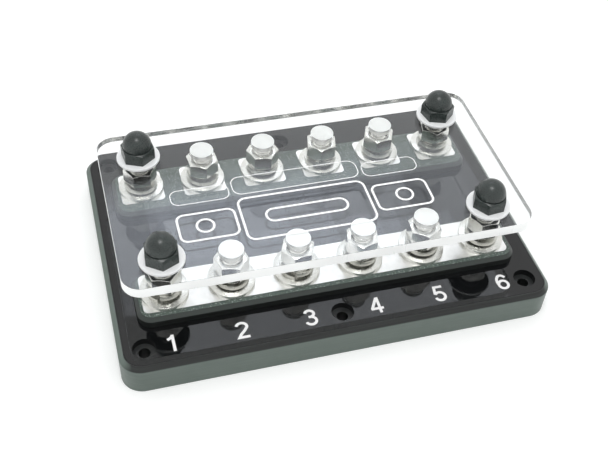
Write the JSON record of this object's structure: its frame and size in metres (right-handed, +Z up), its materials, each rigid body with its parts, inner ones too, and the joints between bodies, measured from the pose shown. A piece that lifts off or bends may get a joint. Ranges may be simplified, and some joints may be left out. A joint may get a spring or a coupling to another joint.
{
  "type": "fuse block",
  "caption": "Low rectangular fuse block: milled base with gloss face, bus bar and output studs in two rows, clear cover held by domed nuts.",
  "frame": {"origin": "centre of the flat underside of the base", "axes": "+Z up, +X along the stud rows, -Y at the numbered front edge"},
  "size_m": [0.1834, 0.127, 0.0517],
  "materials": {
    "milled_base": "satin, milled",
    "gloss_face": "polished",
    "plated_bar": "tin plated, satin",
    "stainless": "bright",
    "spring_steel": "bright",
    "clear_acrylic": "clear, polished faces and sawn edges",
    "nylon": "translucent",
    "black_nylon": "moulded"
  },
  "bodies": {
    "block": {"base_block": "milled_base", "face_plate": "gloss_face", "bus_bar": "plated_bar", "output_pad_1": "plated_bar", "output_pad_2": "plated_bar", "output_pad_3": "plated_bar", "output_pad_4": "plated_bar", "output_pad_5": "plated_bar", "output_pad_6": "plated_bar", "terminal_bolts": "stainless", "cover_bolts": "stainless", "flat_washers": "stainless", "lock_washers": "spring_steel"},
    "cover": {"clear_cover": "clear_acrylic", "cover_washers": "nylon"},
    "front_nut_1": {"front_nut_1": "stainless"},
    "front_nut_2": {"front_nut_2": "stainless"},
    "front_nut_3": {"front_nut_3": "stainless"},
    "front_nut_4": {"front_nut_4": "stainless"},
    "front_nut_5": {"front_nut_5": "stainless"},
    "front_nut_6": {"front_nut_6": "stainless"},
    "rear_nut_1": {"rear_nut_1": "stainless"},
    "rear_nut_2": {"rear_nut_2": "stainless"},
    "rear_nut_3": {"rear_nut_3": "stainless"},
    "rear_nut_4": {"rear_nut_4": "stainless"},
    "rear_nut_5": {"rear_nut_5": "stainless"},
    "rear_nut_6": {"rear_nut_6": "stainless"},
    "cap_nut_1": {"cap_nut_1": "black_nylon"},
    "cap_nut_2": {"cap_nut_2": "black_nylon"},
    "cap_nut_3": {"cap_nut_3": "black_nylon"},
    "cap_nut_4": {"cap_nut_4": "black_nylon"}
  },
  "joints": [
    {"name": "cover_lift", "type": "slide", "parent": "block", "child": "cover", "axis": [0, 0, 1], "range_m": [0, 0.03]},
    {"name": "front_nut_1_turn", "type": "hinge", "parent": "block", "child": "front_nut_1", "pos_m": [-0.06925, -0.0305, 0.027], "axis": [0, 0, 1], "continuous": true},
    {"name": "front_nut_2_turn", "type": "hinge", "parent": "block", "child": "front_nut_2", "pos_m": [-0.04155, -0.0305, 0.027], "axis": [0, 0, 1], "continuous": true},
    {"name": "front_nut_3_turn", "type": "hinge", "parent": "block", "child": "front_nut_3", "pos_m": [-0.01385, -0.0305, 0.027], "axis": [0, 0, 1], "continuous": true},
    {"name": "front_nut_4_turn", "type": "hinge", "parent": "block", "child": "front_nut_4", "pos_m": [0.01385, -0.0305, 0.027], "axis": [0, 0, 1], "continuous": true},
    {"name": "front_nut_5_turn", "type": "hinge", "parent": "block", "child": "front_nut_5", "pos_m": [0.04155, -0.0305, 0.027], "axis": [0, 0, 1], "continuous": true},
    {"name": "front_nut_6_turn", "type": "hinge", "parent": "block", "child": "front_nut_6", "pos_m": [0.06925, -0.0305, 0.027], "axis": [0, 0, 1], "continuous": true},
    {"name": "rear_nut_1_turn", "type": "hinge", "parent": "block", "child": "rear_nut_1", "pos_m": [-0.06925, 0.0305, 0.027], "axis": [0, 0, 1], "continuous": true},
    {"name": "rear_nut_2_turn", "type": "hinge", "parent": "block", "child": "rear_nut_2", "pos_m": [-0.04155, 0.0305, 0.027], "axis": [0, 0, 1], "continuous": true},
    {"name": "rear_nut_3_turn", "type": "hinge", "parent": "block", "child": "rear_nut_3", "pos_m": [-0.01385, 0.0305, 0.027], "axis": [0, 0, 1], "continuous": true},
    {"name": "rear_nut_4_turn", "type": "hinge", "parent": "block", "child": "rear_nut_4", "pos_m": [0.01385, 0.0305, 0.027], "axis": [0, 0, 1], "continuous": true},
    {"name": "rear_nut_5_turn", "type": "hinge", "parent": "block", "child": "rear_nut_5", "pos_m": [0.04155, 0.0305, 0.027], "axis": [0, 0, 1], "continuous": true},
    {"name": "rear_nut_6_turn", "type": "hinge", "parent": "block", "child": "rear_nut_6", "pos_m": [0.06925, 0.0305, 0.027], "axis": [0, 0, 1], "continuous": true},
    {"name": "cap_nut_1_turn", "type": "hinge", "parent": "cover", "child": "cap_nut_1", "pos_m": [-0.06925, -0.0305, 0.042], "axis": [0, 0, 1], "continuous": true},
    {"name": "cap_nut_2_turn", "type": "hinge", "parent": "cover", "child": "cap_nut_2", "pos_m": [0.06925, -0.0305, 0.042], "axis": [0, 0, 1], "continuous": true},
    {"name": "cap_nut_3_turn", "type": "hinge", "parent": "cover", "child": "cap_nut_3", "pos_m": [-0.06925, 0.0305, 0.042], "axis": [0, 0, 1], "continuous": true},
    {"name": "cap_nut_4_turn", "type": "hinge", "parent": "cover", "child": "cap_nut_4", "pos_m": [0.06925, 0.0305, 0.042], "axis": [0, 0, 1], "continuous": true}
  ]
}
